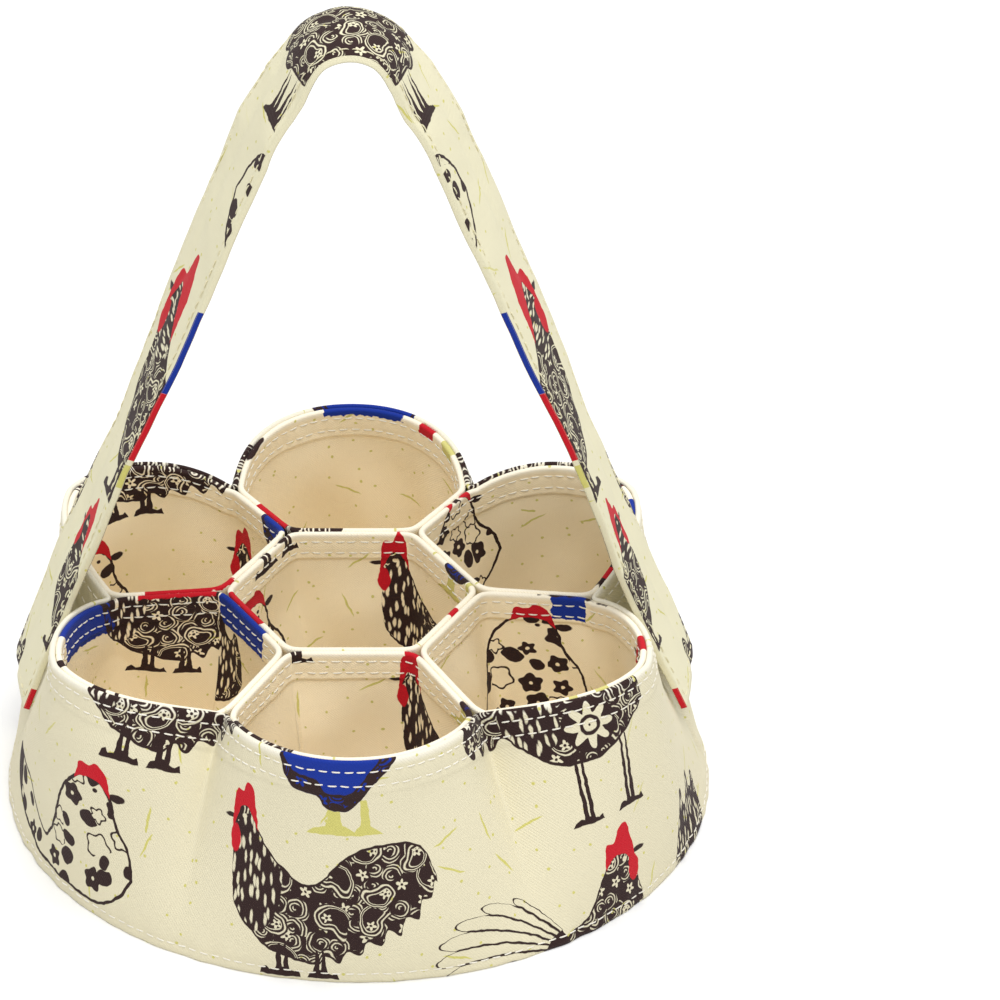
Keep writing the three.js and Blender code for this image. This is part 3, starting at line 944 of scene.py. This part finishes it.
def draw_fan(nodes, x, y, bird):
    """Outlined, bent tail feathers round a point, as the distance inside their pen lines."""
    middle, reach, lean = bird["fan"]
    away, angle = around(nodes, x, y, bird, middle)
    bent = nodes.scaled(away, -0.5, nodes.math("DEGREES", angle))
    from_lean = nodes.minus(bent, lean - 0.25 * reach)
    fan_edge = nodes.scaled(nodes.math("POWER", nodes.math("ABSOLUTE", from_lean), 2.0), -0.025, reach)
    feather = nodes.math("PINGPONG", bent, FEATHER_TURN)
    tip = nodes.scaled(nodes.math("POWER", feather, 2.0), -0.4, fan_edge)
    inside = nodes.least(nodes.minus(tip, away), slab(nodes, from_lean, -FAN_SPREAD, FAN_SPREAD))
    to_side = nodes.times(nodes.minus(FEATHER_TURN, feather), nodes.times(away, math.radians(1)))
    pen = nodes.minus(0.42, nodes.least(to_side, nodes.math("ABSOLUTE", inside)))
    root = nodes.minus(13.0, away)
    return nodes.least(nodes.most(pen, root), nodes.math("ADD", inside, 0.36))


def draw_bloom(nodes, x, y, bird):
    """One large light flower: the distances inside its lines and inside the space it takes."""
    middle, radius = bird["bloom"]
    away, angle = around(nodes, x, y, bird, middle)
    wave = nodes.math("COSINE", nodes.times(angle, BLOOM_PETALS))
    flower = nodes.minus(nodes.scaled(wave, 0.22 * radius, 0.74 * radius), away)
    open_flower = nodes.least(flower, nodes.minus(away, 0.42 * radius))
    ring = pen_line(nodes, nodes.minus(away, 0.17 * radius), 0.11 * radius)
    return nodes.most(ring, open_flower), nodes.minus(1.1 * radius, away)


def draw_bird(nodes, x, y, bird, spots):
    """One bird, as pairs of an ink and the distance inside its shape in millimetres."""
    size, style = bird["size"], bird["style"]
    shapes = []

    def outline(name, smooth=True, inset=0):
        points = inset_outline(bird[name], inset) if inset else bird[name]
        return nodes.profile(x, shrunk(points, size), smooth)

    below_back = nodes.minus(outline("back"), y)
    above_belly = nodes.minus(y, outline("belly"))
    body = nodes.times(nodes.least(below_back, above_belly), size)
    if "legs" in bird:
        stand = nodes.minus(outline("legs", smooth=False), y)
        legs = nodes.times(nodes.least(stand, nodes.minus(y, 0.005)), size)
        shapes.append(("olive" if style == "blue" else "pen", legs))
    if "comb" in bird:
        crest = nodes.minus(outline("comb"), y)
        comb = nodes.least(crest, nodes.minus(0.012, below_back))
        shapes.append(("red", nodes.times(comb, size)))
    eye_ink = "pen" if style == "spotted" else "bloom"
    for part, inks in (("beak", ["pen"]), ("wattle", ["red"]), ("eye", [eye_ink]),
                       ("neck", ["neck", "plain"])):
        if part in bird:
            oval = nodes.times(nodes.oval(x, y, *shrunk(bird[part], size)), size)
            shapes += [(ink, oval) for ink in inks]
    if "tip" in bird:
        shapes.append(("pen", nodes.least(body, nodes.scaled(x, -size, bird["tip"]))))
    if "fan" in bird:
        shapes.append(("pen", draw_fan(nodes, x, y, bird)))
    if "bloom" in bird:
        flower, space = draw_bloom(nodes, x, y, bird)
        shapes += [("bloom", flower), ("plain", space)]

    if style == "dark":
        shapes.append(("dark", body))
    elif style == "blue":
        low_body = nodes.least(body, nodes.scaled(above_belly, -size, 6.0))
        shapes += [("dark", low_body), ("blue", body)]
    else:
        inner = nodes.least(nodes.minus(outline("back", inset=OUTLINE), y),
                            nodes.minus(y, outline("belly", inset=-OUTLINE)))
        border = nodes.least(body, nodes.times(inner, -size))
        shapes += [("pen", border), ("pen", nodes.least(body, spots))]
    return shapes


def nearest_point(nodes, cloth, size, randomness=1.0):
    """The nearest of many scattered points: two chances of its own from 0 to 1, and the way from
    it in millimetres."""
    cell = nodes.tree.nodes.new("ShaderNodeTexVoronoi")
    cell.voronoi_dimensions = "2D"
    for name, value in (("Vector", cloth), ("Scale", 1 / size), ("Randomness", randomness)):
        nodes.feed(cell.inputs[name], value)
    chance, other = nodes.split(cell.outputs["Color"])
    return chance, other, nodes.vector("SUBTRACT", cloth, cell.outputs["Position"])


def scatter(nodes, cloth, size):
    """Two chances of the nearest point, the distance to it, and the angle round it, turned at
    random."""
    chance, other, way = nearest_point(nodes, cloth, size, 0.75)
    away, angle = nodes.polar(*nodes.split(way))
    return chance, other, away, nodes.scaled(other, 6.28, angle)


def petals(nodes, away, turn, reach, depth):
    """The distance inside a flower with five petals."""
    wave = nodes.math("COSINE", nodes.times(turn, 5.0))
    return nodes.minus(nodes.scaled(wave, depth, reach), away)


def draw_drops(nodes, cloth):
    """Curled drops with a flower inside: the distances inside their light lines, and inside them."""
    _, other, away, turn = scatter(nodes, cloth, DROP_SPACING)
    curl = nodes.math("COSINE", nodes.scaled(away, 0.16, turn))
    point = nodes.math("POWER", nodes.scaled(curl, 0.5, 0.5), 6.0)
    reach = nodes.times(nodes.scaled(point, 5.0, 3.2), nodes.scaled(other, 0.5, 0.75))
    inside = nodes.minus(reach, away)
    outer_line = pen_line(nodes, inside, 0.27)
    inner_line = pen_line(nodes, nodes.minus(inside, 1.3), 0.2)
    heart = nodes.least(petals(nodes, away, turn, 1.3, 0.5), nodes.minus(away, 0.5))
    return nodes.most(outer_line, inner_line, heart), inside


def draw_filling(nodes, cloth):
    """Open arcs and small flowers for the dark between the drops."""
    chance, _, away, turn = scatter(nodes, cloth, FILLING_SPACING)
    is_flower = nodes.scaled(chance, 60.0, -42.0)
    flower = nodes.least(petals(nodes, away, turn, 1.5, 0.6), nodes.minus(away, 0.5), is_flower)
    rings = pen_line(nodes, nodes.minus(nodes.math("PINGPONG", away, 1.1), 0.55), 0.2)
    opening = nodes.math("COSINE", nodes.scaled(away, 1.4, turn))
    arcs = nodes.least(rings, nodes.scaled(opening, 2.0, 0.2), nodes.times(is_flower, -1.0))
    return nodes.most(flower, arcs)


def draw_ornament(nodes, cloth):
    """Light line work for the dark birds, as the distance inside its lines in millimetres."""
    drops, inside_drops = draw_drops(nodes, cloth)
    beside_drops = nodes.scaled(inside_drops, -1.0, -0.9)
    return nodes.most(drops, nodes.least(draw_filling(nodes, cloth), beside_drops))


def draw_spots(nodes, cloth):
    """Ink blobs, flowers with a light centre and outlined flowers for the spotted birds."""
    chance, other, away, turn = scatter(nodes, cloth, SPOT_SPACING)
    full = petals(nodes, away, turn, nodes.scaled(other, 2.2, 2.6), 0.55)
    flower = nodes.least(full, nodes.minus(away, 0.7))
    outlined = pen_line(nodes, full, 0.38)
    blob = nodes.minus(nodes.scaled(other, 1.6, 1.9), away)
    lumpy = nodes.scaled(nodes.math("COSINE", nodes.times(turn, 2.0)), 0.4, blob)
    kind = nodes.times(chance, 3000.0)  # so steep that no spot is half of one kind
    flowers_from, outlines_from = 1300.0, 2400.0
    return nodes.most(nodes.least(lumpy, nodes.minus(flowers_from, kind)),
                      nodes.least(flower, slab(nodes, kind, flowers_from, outlines_from)),
                      nodes.least(outlined, nodes.minus(kind, outlines_from)))


def draw_streaks(nodes, cloth):
    """Short light feather strokes, pointed at both ends, that run up and down the cloth."""
    stretched = nodes.vector("MULTIPLY", cloth, (1 / STREAK_WIDTH, 1 / STREAK_LENGTH, 1))
    return nodes.scaled(nodes.point_distance(stretched, 1.0), -STREAK_WIDTH, 0.27 * STREAK_WIDTH)


def draw_straw(nodes, cloth):
    """Small olive strokes and specks, scattered at random turns."""
    chance, _, way = nearest_point(nodes, cloth, STRAW_SPACING)
    turned = nodes.add("VectorRotate", {"Vector": way, "Angle": nodes.times(chance, 21.0)},
                       rotation_type="Z_AXIS")
    away = nodes.vector("LENGTH", nodes.vector("MULTIPLY", turned, (0.2, 2.4, 0)))
    stroke = nodes.least(nodes.minus(1.0, away), nodes.scaled(chance, 8.0, -4.4))
    specks = nodes.scaled(nodes.point_distance(cloth, SPECK_SPACING), -SPECK_SPACING, 0.5)
    return nodes.most(stroke, specks)


def weave(nodes, cloth, twill):
    """The height of the woven threads: slanted ribs for a twill, or plain dots."""
    pitch = TWILL_PITCH if twill else PLAIN_PITCH

    def wave(x, y):
        return nodes.math("SINE", nodes.vector("DOT_PRODUCT", cloth, (x / pitch, y / pitch, 0)))

    if twill:
        return nodes.scaled(wave(-3.9, 8.5), 0.35, wave(4.6, 4.2))
    return nodes.times(wave(6.28, 0), wave(0, 6.28))


def lay_inks(nodes, color, inks, light):
    """The cloth's colour under its inks. Light lines are left out of the dark ink."""
    for ink, code in INK_COLORS:
        shape = nodes.most(*inks[ink])
        if ink == "dark":
            border = nodes.minus(OUTLINE, shape)
            shape = nodes.least(shape, nodes.most(nodes.times(light, -1.0), border))
        if inks["clear"] and ink in ("dark", "pen"):
            shape = nodes.least(shape, nodes.times(inks["clear"][0], -1.0))
        most = OLIVE_COVER if ink == "olive" else 1.0
        cover = nodes.ramp(shape, -INK_BLUR, INK_BLUR, 0.0, most)
        color = nodes.mix(cover, color, linear(code))
    return color


def printed_canvas(name, ground, layout, tile=None, twill=True, extra=None, pale_highlit_edge=False):
    """Cream canvas with a printed pattern. extra draws more inks from the "Panel" coordinates,
    and pale_highlit_edge paints a hem's folded edge paler: partly the whiter yarn of the fold,
    partly a painted highlight along it."""
    nodes = Nodes(name)
    cloth = nodes.add("UVMap", {}, uv_map="Cloth")
    panel = nodes.add("UVMap", {}, uv_map="Panel")
    wobble = nodes.noise(cloth, 3.6, 1.0, "Color")
    drawn = nodes.vector("MULTIPLY_ADD", wobble, DRAWING_WOBBLE, cloth)
    loose = nodes.vector("MULTIPLY_ADD", wobble, DRAWING_WOBBLE, panel)
    spots = draw_spots(nodes, loose)
    shapes = [("olive", draw_straw(nodes, loose))]
    for bird, *place in layout:
        x, y = place_bird(nodes, drawn, bird, *place, tile)
        shapes += draw_bird(nodes, x, y, bird, spots)
    if extra:
        shapes += extra(nodes, panel)
    inks = defaultdict(list)
    for ink, shape in shapes:
        inks[ink].append(shape)
    feathers = nodes.least(nodes.most(*inks["neck"]), draw_streaks(nodes, loose))
    not_plain = nodes.times(nodes.most(*inks["plain"]), -1.0)
    ornament = nodes.least(draw_ornament(nodes, loose), not_plain)
    light = nodes.most(feathers, ornament, *inks["bloom"])

    threads = weave(nodes, cloth, twill)
    patches = nodes.noise(cloth, 30.0, 3.0)
    shade = nodes.scaled(threads, 0.025, nodes.ramp(patches, 0.3, 0.7, 0.0, 0.16))
    color = nodes.mix(shade, linear(ground[0]), linear(ground[1]))
    # Painted highlight: the folded edge is mixed towards near-white, partly for the fold's whiter yarn and
    # partly as a highlight painted along it.
    if pale_highlit_edge:
        _, height = nodes.split(panel)
        color = nodes.mix(nodes.ramp(height, *HEM_EDGE, 0.0, 0.6), color, linear("F8F4E8"))
    nodes.feed(nodes.shader.inputs["Base Color"], lay_inks(nodes, color, inks, light))

    nodes.feed(nodes.shader.inputs["Roughness"], nodes.scaled(patches, 0.14, 0.74))
    crumple = nodes.noise(cloth, 9.0, 3.0)
    height = nodes.scaled(crumple, 2.6, nodes.times(threads, 0.5))
    bump = nodes.add("Bump", {"Strength": 0.5, "Distance": 0.15 * MM, "Height": height}, "Normal")
    nodes.feed(nodes.shader.inputs["Normal"], bump)
    nodes.shader.inputs["Sheen Weight"].default_value = 0.05
    nodes.shader.inputs["Specular IOR Level"].default_value = 0.25
    return nodes.material


def sewing_thread(name, light, dark):
    nodes = Nodes(name)
    place = nodes.add("TexCoord", {}, "Object")
    soil = nodes.noise(place, 0.02, 2.0)
    nodes.feed(nodes.shader.inputs["Base Color"], nodes.mix(soil, linear(light), linear(dark)))
    strands = nodes.add("TexWave", {"Vector": place, "Scale": 700.0, "Distortion": 1.5},
                        bands_direction="DIAGONAL")
    bump = nodes.add("Bump", {"Strength": 0.5, "Distance": 0.08 * MM, "Height": strands}, "Normal")
    nodes.feed(nodes.shader.inputs["Normal"], bump)
    nodes.shader.inputs["Roughness"].default_value = 0.6
    return nodes.material


def floor_paper():
    nodes = Nodes("floor_paper")
    place = nodes.add("TexCoord", {}, "Object")
    nodes.feed(nodes.shader.inputs["Base Color"],
               nodes.mix(nodes.noise(place, 0.4), linear("FAFAFA"), linear("F6F6F6")))
    nodes.shader.inputs["Roughness"].default_value = 0.9
    return nodes.material


# --- Camera, light and floor ---

VIEW_CENTRE = Vector((0, 0, 120 * MM))
VIEW_DISTANCE = 1.8
VIEW_ELEVATION = math.radians(31.3)
VIEW_TURN_ASIDE = math.radians(1.45)
VIEW_TURN_DOWN = math.radians(0.33)
LENS_MM = 200


def add_camera():
    data = bpy.data.cameras.new("view_camera")
    data.lens = LENS_MM
    camera = bpy.data.objects.new("view_camera", data)
    back = Vector((0, -math.cos(VIEW_ELEVATION), math.sin(VIEW_ELEVATION)))
    look = back.to_track_quat("Z", "Y").to_matrix().to_4x4()
    aside = Matrix.Rotation(-VIEW_TURN_ASIDE, 4, "Y")
    down = Matrix.Rotation(-VIEW_TURN_DOWN, 4, "X")
    camera.matrix_world = Matrix.Translation(VIEW_CENTRE + back * VIEW_DISTANCE) @ look @ aside @ down
    bpy.context.scene.collection.objects.link(camera)
    bpy.context.scene.camera = camera


def add_lamp(name, place, size, power):
    data = bpy.data.lights.new(name, "AREA")
    data.size = size
    data.energy = power
    lamp = bpy.data.objects.new(name, data)
    place = Vector(place)
    turn = (place - VIEW_CENTRE).to_track_quat("Z", "Y").to_matrix().to_4x4()
    lamp.matrix_world = Matrix.Translation(place) @ turn
    bpy.context.scene.collection.objects.link(lamp)


def add_studio():
    world = bpy.data.worlds.new("studio")
    bpy.context.scene.world = world
    world.use_nodes = True
    background = world.node_tree.nodes["Background"]
    background.inputs["Color"].default_value = (1, 1, 1, 1)
    background.inputs["Strength"].default_value = 0.56
    add_lamp("top_lamp", place=(0.1, 0.1, 2.3), size=1.8, power=34)
    add_lamp("front_lamp", place=(0.2, -1.2, 1.9), size=1.2, power=14.5)
    bpy.context.scene.view_settings.view_transform = "Standard"


def add_floor():
    mesh = bpy.data.meshes.new("floor")
    reach = 6
    mesh.from_pydata([(-reach, -reach, 0), (reach, -reach, 0), (reach, reach, 0), (-reach, reach, 0)],
                     [], [(0, 1, 2, 3)])
    add_object("floor", mesh, floor_paper())


add_camera()
add_studio()
add_floor()
wall_cloth = printed_canvas("printed_canvas", ("E2DABC", "D9D1B4"), PRINT_LAYOUT, PRINT_TILE,
                            pale_highlit_edge=True)
# The sleeves' and lining's ground is lighter and warmer than the wall's: partly the paler inner side of the
# same cloth, partly painted light that brightens and warms the shaded insides and floors of the pockets.
brightened_pocket_cloth = printed_canvas("pocket_canvas_brightened", ("FFF0CF", "FCE6BC"), PRINT_LAYOUT, PRINT_TILE,
                              twill=False, extra=rim_accents, pale_highlit_edge=True)
strap_canvas = printed_canvas("strap_canvas", ("E5DFBF", "DCD7B8"), STRAP_LAYOUT, extra=strap_edge)
strap_thread = sewing_thread("cream_thread", "E7E1C0", "D9D1AC")
thread = sewing_thread("white_thread", "F6F3EA", "E6DFCC")
add_base_disc("base_panel_cloth", "base_panel", (0, 0), wall_cloth)
add_base_disc("base_lining_cloth", "base_lining", (60, 40), brightened_pocket_cloth)
add_outer_wall(wall_cloth)
add_wall_stitches(thread)
for order in range(len(POCKETS)):
    add_pocket(order, brightened_pocket_cloth, thread)
add_strap(strap_canvas, strap_thread)
